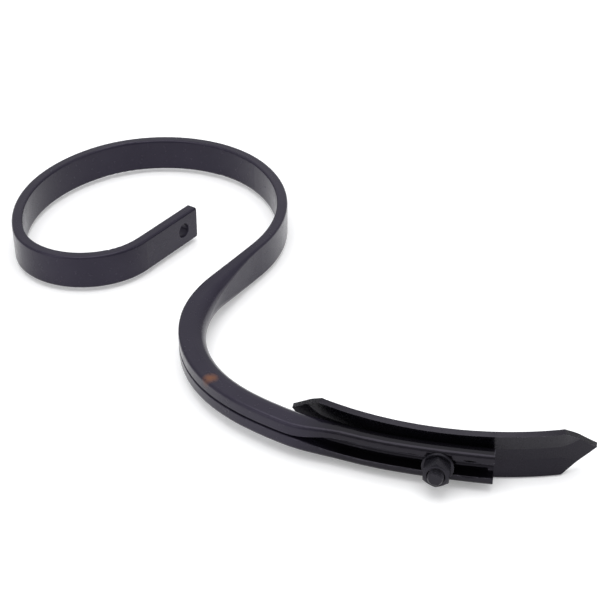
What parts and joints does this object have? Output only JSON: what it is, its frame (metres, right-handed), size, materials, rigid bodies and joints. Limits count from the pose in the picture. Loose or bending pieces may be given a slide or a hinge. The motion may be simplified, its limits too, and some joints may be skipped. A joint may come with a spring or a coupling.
{
  "type": "cultivator spring s-tine with reversible point",
  "caption": "Spring S-tine: flat bar coiled and folded into a grooved leg that opens to a channel, with a pointed reversible share plate bolted across its back.",
  "frame": {"origin": "centre of the clamp hole, at the middle of the bar's width and thickness", "axes": "+X along the straight clamp run toward the end of the bar, +Y along the clamp hole toward the inside of the coil, +Z across the width of the bar; the tine lies on its side"},
  "size_m": [0.328, 0.6111, 0.04],
  "materials": {
    "tine_paint": "semi-gloss black paint on spring steel",
    "point_paint": "glossy black paint on hardened steel plate",
    "fastener_paint": "black painted M12 fasteners"
  },
  "bodies": {
    "tine": {"spring_tine": "tine_paint", "reversible_point": "point_paint", "plough_bolt": "fastener_paint"},
    "washer": {"flat_washer": "fastener_paint"},
    "nut": {"hex_nut": "fastener_paint"}
  },
  "joints": [
    {"name": "washer_slide", "type": "slide", "parent": "tine", "child": "washer", "axis": [-0.9227, -0.3855, 0], "range_m": [0, 0.0035]},
    {"name": "nut_spin", "type": "hinge", "parent": "washer", "child": "nut", "pos_m": [-0.15176, -0.36148, 0], "axis": [-0.9227, -0.3855, 0], "range_deg": [0, 720]}
  ],
  "couplings": [
    {"joint": "nut_spin", "follows": "washer_slide", "rad_per_m": 3590.4}
  ]
}
